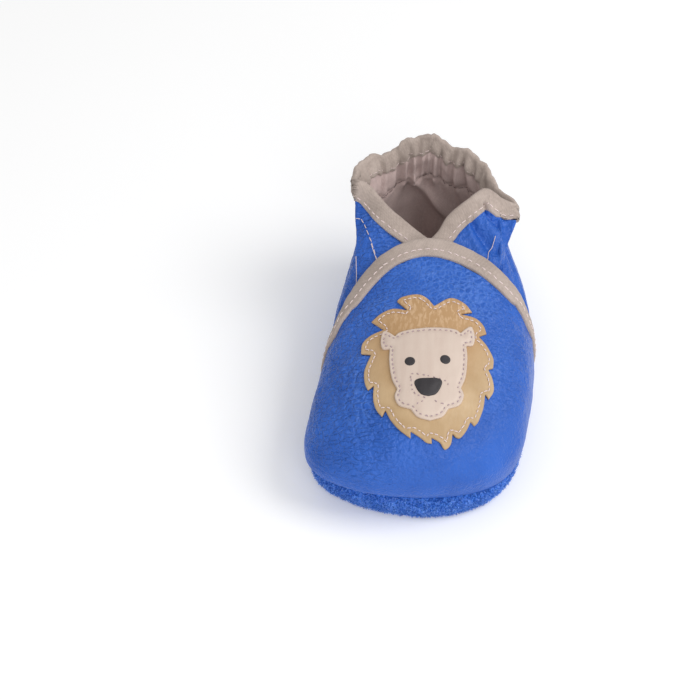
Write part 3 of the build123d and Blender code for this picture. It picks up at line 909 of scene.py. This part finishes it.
def fold_section(width):
    """Points round a folded tape's section: distance in from the edge, and height over the middle
    of the layers."""
    cloth = LAYERS / 2
    top = cloth + TAPE
    outside = [(width + 0.1, cloth - 0.1), (width + 0.1, cloth + 0.25), (width - 0.15, top)]
    outside += [(width * share, top + 0.12) for share in (0.88, 0.78, 0.68, 0.56, 0.44, 0.32, 0.22)]
    outside += [(0.7, top)]
    turned = [(0.7 - 1.25 * sin(radians(t)), top * cos(radians(t))) for t in (22, 45, 68, 90, 112, 135, 158)]
    inside = [(inset, -height) for inset, height in reversed(outside)]
    return outside + turned + inside


def make_tape(name, line, place, width):
    """A tape folded over an edge. Line is the edge's turns and heights; place puts it on a layer."""
    section = fold_section(width)
    rings = []
    for inset, height in section:
        turn, z = step_across(*line, inset)
        rings.append(place(turn, z, LAYERS / 2 - height + 0 * z, 1 if height > 0 else -1))
    rings = np.stack(rings, axis=1)
    normal = np.cross(np.gradient(rings, axis=0), np.gradient(rings, axis=1))
    normal /= np.linalg.norm(normal, axis=-1, keepdims=True) + 1e-9
    rings += 0.12 * noise_at(rings, 2.6, 30.0)[..., None] * normal
    faces = sheet_faces(len(line[0]), len(section), closed=True)
    return make_object(name, rings.reshape(-1, 3), faces, MATERIALS["tape"])


def throat_line(count):
    """The vamp's rear edge, from the outer side to the inner."""
    fine = np.radians(np.linspace(VAMP_ENDS[1], VAMP_ENDS[0], 4000))
    turns = even_spread(fine, throat_z(fine), count)
    return turns, throat_z(turns)


def collar_line(start, end, count):
    """The collar's edge between two angles round from the heel."""
    fine = np.linspace(start, end, 4000)
    turns = even_spread(heel_turn(fine), COLLAR(fine), count)
    return turns, COLLAR(np.degrees(pi - turns))


def on_vamp(turn, z, depth, _):
    """Points of the vamp's layers, which are alike on both sides."""
    return vamp_shell(turn, z, depth)


def on_heel(turn, z, depth, side):
    """Points of the heel piece's layers."""
    return heel_shell(np.degrees(pi - turn), z, depth, side)


# ---------------------------------------------------------------- thread

TAPE_STITCH = 2.5
TAPE_STITCH_INSET = 4.5
PATCH_STITCH = 1.75
MUZZLE_STITCH = 1.6
CASING_STITCH = 2.6
# How many corners a thread has round it, and how many steps there are to a stitch and its space.
CORNERS = 6
STITCH_STEPS = 24


def threads(name, starts, ends, ups, radius, material="thread"):
    """Short threads between pairs of points, each dipping into the work at its ends."""
    along = ends - starts
    side = np.cross(along, ups)
    side /= np.linalg.norm(side, axis=1, keepdims=True)
    rings = []
    for t, lift, size in ((0, -1.2, 0.5), (0.08, 0.3, 0.9), (0.3, 0.8, 1.0), (0.7, 0.8, 1.0),
                          (0.92, 0.3, 0.9), (1, -1.2, 0.5)):
        middle = starts + t * along + radius * lift * ups
        for corner in range(CORNERS):
            angle = 2 * pi * corner / CORNERS
            rings.append(middle + radius * size * (cos(angle) * side + sin(angle) * ups))
    points = np.stack(rings, axis=1)
    tube = sheet_faces(6, CORNERS, closed=True)
    faces = (tube[None] + (6 * CORNERS * np.arange(len(starts)))[:, None, None]).reshape(-1, 4)
    return make_object(name, points.reshape(-1, 3), faces, MATERIALS[material])


def stitch_row(name, line, ups, pitch, share=0.74, radius=0.2, material="thread", seed=0):
    """Stitches along a line of points whose outward directions are ups."""
    rng = np.random.default_rng(seed)
    count = max(1, int(length_of(line) / pitch))
    fine = resampled(np.column_stack([line, ups]), STITCH_STEPS * count + 1)
    at = STITCH_STEPS * np.arange(count) + rng.integers(-2, 3, count)
    at = np.clip(at, 0, STITCH_STEPS * (count - 1))
    starts, ends = fine[at], fine[at + int(STITCH_STEPS * share)]
    wiggle = rng.normal(0, 0.07, (count, 3))
    directions_up = starts[:, 3:] / np.linalg.norm(starts[:, 3:], axis=1, keepdims=True)
    return threads(name, starts[:, :3] + wiggle, ends[:, :3] - wiggle, directions_up, radius, material)


def tape_stitches(name, line, place, side, seed, radius=0.2):
    """The stitches that hold a folded tape, on one of its faces."""
    turn, z = step_across(*line, TAPE_STITCH_INSET)
    height = LAYERS / 2 + TAPE + 0.05
    points = place(turn, z, LAYERS / 2 - side * height + 0 * z, side)
    ups = directions(turn, z)[0] * side
    return stitch_row(name, points, ups, TAPE_STITCH, radius=radius, seed=seed)


def make_bindings():
    """The two tapes, folded over the edges of the upper and stitched down."""
    throat, collar = throat_line(460), collar_line(-187, 187, 1000)
    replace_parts(make_tape("throat_tape", throat, on_vamp, THROAT_TAPE_WIDTH), "vamp_binding")
    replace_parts(make_tape("collar_tape", collar, on_heel, COLLAR_TAPE_WIDTH), "collar_binding")
    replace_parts(tape_stitches("throat_stitches", throat, on_vamp, 1, 1), "vamp_binding_stitching")
    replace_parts(tape_stitches("collar_stitches", collar, on_heel, 1, 2), "collar_binding_stitching")
    tape_stitches("collar_inner_stitches", collar, on_heel, -1, 3, radius=0.12)


# Where the casing's stitches begin and end, as degrees round from the heel.
CASING_ROW = (-124, 74)


def make_casing_stitches():
    """The row of stitches under the elastic's casing, outside and in."""
    around = np.linspace(*CASING_ROW, 900)
    z = COLLAR(around) - CASING(around)
    points = heel_shell(around, z, -0.15 + 0 * z)
    ups = directions(heel_turn(around), z)[0]
    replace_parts(stitch_row("casing_stitches", points, ups, CASING_STITCH, radius=0.14, seed=4),
                "casing_stitching")
    points = heel_shell(around, z, LAYERS + LINING_SLACK + 0.15 + 0 * z, side=-1)
    stitch_row("casing_inner_stitches", points, -ups, CASING_STITCH, radius=0.14,
               material="lining_thread", seed=5)


# Loose ends of thread, as degrees round from the heel and heights.
LOOSE_THREADS = [
    [(-94.5, 42.0), (-96, 39.5), (-97, 37.5), (-98, 35.5)],
    [(-117, 46.4), (-122, 45.9), (-127, 45.6)],
    [(133, 47.2), (130, 47.9), (127, 47.6), (124, 48.3)],
]
LOOSE_RADIUS = 0.11


def make_loose_threads():
    """Ends of thread left on the leather."""
    for i, ends in enumerate(LOOSE_THREADS):
        around, z = np.array(ends, float).T
        points = resampled(heel_shell(around, z, -0.5 + 0 * z), 24)
        for _ in range(6):
            points = settle(points)
        ups = np.broadcast_to(directions(heel_turn(around), z)[0].mean(axis=0), points.shape)
        side = np.cross(np.gradient(points, axis=0), ups)
        side /= np.linalg.norm(side, axis=1, keepdims=True)
        angles = 2 * pi * np.arange(CORNERS) / CORNERS
        ring = np.cos(angles)[:, None] * side[:, None] + np.sin(angles)[:, None] * ups[:, None]
        rings = points[:, None] + LOOSE_RADIUS * ring
        make_object(f"loose_thread_{i}", rings.reshape(-1, 3), sheet_faces(24, CORNERS, closed=True),
                    MATERIALS["thread"])


# ---------------------------------------------------------------- the lion

# The plane the face is drawn on, in the CAD model's numbers, and the face's own askew axes in it.
FACE_CENTRE = np.array([1.6, -34.0, 40.0])
FACE_TILT = radians(16)
FACE_X = np.array([1.0, 0.0, 0.0])
FACE_Z = np.array([0.0, -sin(FACE_TILT), cos(FACE_TILT)])
FACE_Y = np.cross(FACE_Z, FACE_X)
ASKEW = np.array([[cos(radians(7)), sin(radians(7))], [-sin(radians(3.4)), cos(radians(3.4))]])
PATCH = 0.85
MANE_SEAM_INSET = 1.6
FACE_SEAM_INSET = 1.15
# The drawing's height is drawn in a little, from this height down.
SQUEEZE_FROM = -15.0
SQUEEZE = 0.035

# The mane's locks, clockwise from the parting.
MANE_LOCKS = [
    [(0.7, 27.2), (5.8, 31.0), (10.4, 29.5), (13.1, 26.3)],
    [(9.4, 24.8), (14.1, 24.2), (16.8, 22.0), (18.0, 18.9)],
    [(15.5, 17.1), (18.1, 14.4), (20.4, 10.1), (20.5, 6.2)],
    [(18.9, 5.3), (20.4, 2.0), (20.9, -2.2), (19.4, -5.7)],
    [(18.2, -4.2), (17.8, -9.1), (16.4, -14.2), (15.1, -16.2)],
    [(13.9, -15.0), (12.6, -18.4), (10.8, -21.0), (9.3, -21.0)],
    [(8.4, -20.1), (8.0, -23.5), (6.2, -25.4), (4.5, -23.5), (1.9, -22.4)],
    [(2.1, -24.2), (0.4, -24.1), (-1.6, -22.8), (-4.7, -21.1)],
    [(-4.6, -23.3), (-8.2, -20.8), (-11.0, -17.7), (-13.0, -14.0)],
    [(-13.9, -16.3), (-16.0, -13.4), (-17.1, -9.4), (-17.2, -4.4)],
    [(-19.0, -6.0), (-20.2, -2.8), (-20.5, 2.0), (-18.7, 8.1)],
    [(-22.1, 9.1), (-21.8, 13.2), (-19.4, 16.0), (-15.3, 17.7)],
    [(-19.4, 21.7), (-16.5, 24.6), (-12.6, 26.2), (-7.9, 25.2)],
    [(-11.5, 29.2), (-9.9, 30.9), (-5.0, 31.9), (-1.8, 30.4), (0.7, 27.2)],
]
# Half of the face's outline, from the middle of the brow down to the chin, and of the nose's.
FACE_HALF = [
    [(0.0, 17.6), (5.5, 17.3), (9.0, 16.6), (10.3, 15.4)],
    [(10.3, 15.4), (12.2, 17.4), (14.0, 18.2), (14.9, 14.6), (14.3, 11.1), (12.1, 10.5)],
    [(12.1, 10.5), (12.3, 5.8), (11.6, -1.0), (10.0, -5.4)],
    [(10.0, -5.4), (10.8, -8.2), (9.4, -11.5), (5.9, -13.1)],
    [(5.9, -13.1), (3.8, -15.9), (0.0, -17.2)],
]
NOSE_HALF = [[(0.0, -2.3), (2.8, -2.4), (4.2, -3.4), (3.9, -5.5), (2.3, -8.2), (0.0, -9.0)]]
NOSE_SHIFT = -0.3
EYES = ((-5.8, 3.7), (5.1, 3.9))
EYE_RADIUS = 1.6
# The dotted stitching round the muzzle and under it.
MUZZLE_LINES = [
    [(-5.6, -2.6), (-5.3, -0.9), (-2.1, -1.5), (1.2, -2.4), (4.7, -3.6), (5.9, -4.8), (5.3, -6.1)],
    [(-5.5, -2.9), (-5.4, -5.0), (-5.2, -6.9), (-4.1, -8.4), (-2.4, -9.2), (-0.5, -10.1)],
    [(-1.9, -10.8), (-3.6, -11.4), (-4.5, -12.6)],
    [(1.4, -10.7), (3.6, -11.6), (5.7, -12.3)],
]


def curve_through(points, step=0.35):
    """A smooth line through a few points in a plane."""
    points = np.array(points, float)
    padded = np.vstack([2 * points[0] - points[1], points, 2 * points[-1] - points[-2]])
    line = []
    for a, b, c, d in zip(padded, padded[1:], padded[2:], padded[3:]):
        steps = max(2, int(np.linalg.norm(c - b) / step))
        for t in np.arange(steps) / steps:
            line.append(b + t * (c - a) / 2 + t * t * (a - 2.5 * b + 2 * c - d / 2)
                        + t ** 3 * (1.5 * b - a / 2 - 1.5 * c + d / 2))
    return np.array(line + [points[-1]])


def closed_outline(runs):
    """An outline made of curves, with straight cuts between them."""
    line = np.vstack([curve_through(squeezed(run)) for run in runs])
    line = np.vstack([line, line[:1]])
    kept = np.linalg.norm(np.diff(line, axis=0), axis=1) > 0.02
    line = np.vstack([line[:-1][kept], line[:1]])
    return resampled(line, int(length_of(line) / 0.35))[:-1]


def squeezed(run):
    """A run of points with the drawing's height drawn in."""
    return [(a, b - SQUEEZE * (b - SQUEEZE_FROM)) for a, b in run]


def mirrored(halves):
    """The runs of a symmetric outline, in the plane's axes."""
    left = [[(-a, b) for a, b in reversed(run)] for run in reversed(halves)]
    return [np.array(run) @ ASKEW for run in halves + left]


def signed_area(line):
    """A closed line's area, positive where it runs anticlockwise."""
    x, y = line.T
    return (x * np.roll(y, -1) - y * np.roll(x, -1)).sum() / 2


def edge_distance(points, outline):
    """How far points are from a closed line."""
    return line_distance(points, np.vstack([outline, outline[:1]]))


def inset_line(line, inset):
    """The outline moved inwards, without the loops that its corners make."""
    along = np.roll(line, -1, axis=0) - np.roll(line, 1, axis=0)
    along /= np.linalg.norm(along, axis=1, keepdims=True)
    inward = np.stack([-along[:, 1], along[:, 0]], axis=1) * np.sign(signed_area(line))
    moved = line + inset * inward
    kept = moved[edge_distance(moved, line) > inset * 0.96]
    return np.vstack([kept, kept[:1]])


def dropped(flat):
    """Where points of the face's plane land on the last: turns and heights."""
    start = FACE_CENTRE + flat[:, :1] * FACE_X + flat[:, 1:] * FACE_Y
    turn, z, reach = np.zeros(len(flat)), start[:, 2].copy(), np.zeros(len(flat))
    for _ in range(60):
        miss = start + reach[:, None] * FACE_Z - on_last(turn, z)
        _, around, upward = directions(turn, z)
        system = np.stack([around, upward, np.broadcast_to(-FACE_Z, around.shape)], axis=-1)
        change = np.linalg.solve(system, miss[..., None])[..., 0]
        turn = turn + np.clip(change[:, 0], -0.3, 0.3)
        z = z + np.clip(change[:, 1], -6, 6)
        reach = reach + change[:, 2]
    return turn, z


def raised(flat, height):
    """Points of the plane laid on the vamp, this high above its leather, and their normals."""
    turn, z = dropped(flat)
    normal, _, _ = directions(turn, z)
    return on_last(turn, z) + (height - drawn_in(turn, z))[:, None] * normal, normal


def filled(outline, step):
    """Points over an outline's inside, after the outline's own, and triangles between them."""
    low, high = outline.min(0), outline.max(0)
    across, up = np.meshgrid(np.arange(low[0], high[0], step), np.arange(low[1], high[1], step))
    across = across + (np.arange(across.shape[0]) % 2)[:, None] * step / 2
    inside = np.column_stack([across.ravel(), up.ravel()])
    rings = [inset_line(outline, inset)[:-1] for inset in (0.12, 0.3, 0.55)]
    candidates = np.vstack([outline, *rings, inside])
    points, _, triangles, *_ = delaunay_2d_cdt(
        [Vector(p) for p in candidates], [], [list(range(len(outline)))], 1, 1e-4)
    points = np.array([tuple(p) for p in points])
    return points, np.array([t for t in triangles if len(t) == 3])


def patch(name, outline, base, thickness, slot, seams=(), crown=0.0, step=0.6):
    """A patch of leather with rounded edges, pressed down along its seams."""
    outline = outline if signed_area(outline) > 0 else outline[::-1]
    points, triangles = filled(outline, step)
    distance = edge_distance(points, outline)
    edge = np.clip(distance / 0.5, 0, 1)
    height = base + thickness * (0.35 + 0.65 * np.sqrt(1 - (1 - edge) ** 2)) + crown * ease(distance / 3)
    for seam in seams:
        height -= 0.3 * thickness * np.exp(-(edge_distance(points, seam) / 0.4) ** 2)
    top, normal = raised(points, height)
    relief = 0.06 * noise_at(top, 2.4, 3.0) * ease(distance)
    top += relief[:, None] * normal
    bottom = raised(points, base - 0.15 + 0 * height)[0]
    count = len(points)
    border = np.arange(len(outline))
    after = np.roll(border, -1)
    sides = [np.stack([border, border + count, after + count], axis=-1),
             np.stack([border, after + count, after], axis=-1)]
    faces = np.concatenate([triangles, triangles[:, ::-1] + count, *sides])
    piece = make_object(name, np.vstack([top, bottom]), faces, MATERIALS[slot])
    if slot == "mane_leather":
        piece.data.materials.append(MATERIALS["cut_edge"])
        at_side = (np.arange(len(faces)) >= 2 * len(triangles)).astype(np.int32)
        piece.data.polygons.foreach_set("material_index", at_side)
    return piece


def patch_stitches(name, line, height, pitch, **look):
    """Stitches along a line of the face's plane, on top of a patch."""
    points, normal = raised(line, height + np.zeros(len(line)))
    return stitch_row(name, points, normal, pitch, **look)


def make_lion():
    """The mane, the face, the eyes and the nose, and their stitching."""
    mane, face = closed_outline(MANE_LOCKS), closed_outline(mirrored(FACE_HALF))
    nose = closed_outline(mirrored(NOSE_HALF)) + np.array([NOSE_SHIFT, 0]) @ ASKEW
    mane_seam, face_seam = inset_line(mane, MANE_SEAM_INSET), inset_line(face, FACE_SEAM_INSET)
    muzzle = [curve_through(np.array(line) @ ASKEW) for line in MUZZLE_LINES]
    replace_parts(patch("mane", mane, 0, PATCH, "mane_leather", [mane_seam]), "mane_applique")
    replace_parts(patch("face", face, PATCH, PATCH, "face_leather", [face_seam], crown=0.15),
                "face_applique")
    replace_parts(patch("nose_patch", nose, 2 * PATCH + 0.1, 0.4, "black_leather", crown=0.2, step=0.4), "nose")
    ring = np.radians(np.arange(0, 360, 10))
    for name, centre, node in zip(("inner_eye", "outer_eye"), EYES, ("eye_left", "eye_right")):
        disc = np.array(centre) @ ASKEW + EYE_RADIUS * np.column_stack([np.cos(ring), np.sin(ring)])
        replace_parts(patch(name, disc, 2 * PATCH + 0.1, 0.3, "black_leather", step=0.4), node)
    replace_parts(patch_stitches("mane_stitches", mane_seam, PATCH - 0.15, PATCH_STITCH, radius=0.2,
                               seed=6),
                "mane_stitching")
    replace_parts(patch_stitches("face_stitches", face_seam, 2 * PATCH - 0.08, PATCH_STITCH, share=0.5,
                               radius=0.16, material="fine_thread", seed=7), "face_stitching")
    for i, line in enumerate(muzzle):
        patch_stitches(f"muzzle_stitches_{i}", line, 2 * PATCH + 0.2, MUZZLE_STITCH, share=0.44,
                       radius=0.15, material="fine_thread", seed=8 + i)


# ---------------------------------------------------------------- stage

# Lamps: where they are, how wide and how strong.
LAMPS = {
    "key": ((0.7, -0.1, 0.85), 0.6, 5.0),
    "front": ((0.2, -1.0, 0.7), 0.8, 4.2),
}
SKY = 0.58
FLOOR_REACH = 3.0
FLOOR_GLOW = 0.11


def make_floor():
    """A wide pale floor, whose faint glow keeps it white."""
    mesh = bpy.data.meshes.new("floor")
    corners = [(x * FLOOR_REACH, y * FLOOR_REACH, 0) for x, y in ((-1, -1), (1, -1), (1, 1), (-1, 1))]
    mesh.from_pydata(corners, [], [(0, 1, 2, 3)])
    material, shader, _, _ = new_material("floor_paper")
    shader.inputs["Base Color"].default_value = (0.97, 0.97, 0.97, 1)
    shader.inputs["Roughness"].default_value = 0.9
    shader.inputs["Specular IOR Level"].default_value = 0.0
    shader.inputs["Emission Color"].default_value = (1, 1, 1, 1)
    shader.inputs["Emission Strength"].default_value = FLOOR_GLOW
    mesh.materials.append(material)
    plane = bpy.data.objects.new("floor", mesh)
    bpy.context.scene.collection.objects.link(plane)
    plane.location.z = cad_box[0].z


def make_lights():
    """Soft lamps from the outer side and the front, and an even sky."""
    for name, (place, size, power) in LAMPS.items():
        lamp = bpy.data.lights.new(name, "AREA")
        lamp.size = size
        lamp.energy = power
        holder = bpy.data.objects.new(name, lamp)
        holder.location = place
        holder.rotation_euler = (-Vector(place)).to_track_quat("-Z", "Y").to_euler()
        bpy.context.scene.collection.objects.link(holder)
    world = bpy.data.worlds.new("studio")
    world.use_nodes = True
    background = world.node_tree.nodes["Background"]
    background.inputs["Color"].default_value = (1, 1, 1, 1)
    background.inputs["Strength"].default_value = SKY
    bpy.context.scene.world = world
    bpy.context.scene.view_settings.view_transform = "Standard"


def make_camera():
    """The camera looks down at the toe from the front."""
    azimuth, elevation, distance = radians(3.9), radians(44), 0.640
    target = Vector((-0.0260, 0.0022, 0.0135))
    back = Vector((sin(azimuth) * cos(elevation), -cos(azimuth) * cos(elevation), sin(elevation)))
    data = bpy.data.cameras.new("camera")
    data.lens = 95.8
    data.sensor_width = 36
    camera = bpy.data.objects.new("camera", data)
    camera.location = target + back * distance
    camera.rotation_euler = back.to_track_quat("Z", "Y").to_euler()
    bpy.context.scene.collection.objects.link(camera)
    bpy.context.scene.camera = camera


make_floor()
make_lights()
make_camera()
make_sole()
make_nap()
make_insole()
make_vamp()
make_vamp_lining()
make_heel()
make_heel_lining()
make_bindings()
make_casing_stitches()
make_loose_threads()
make_lion()
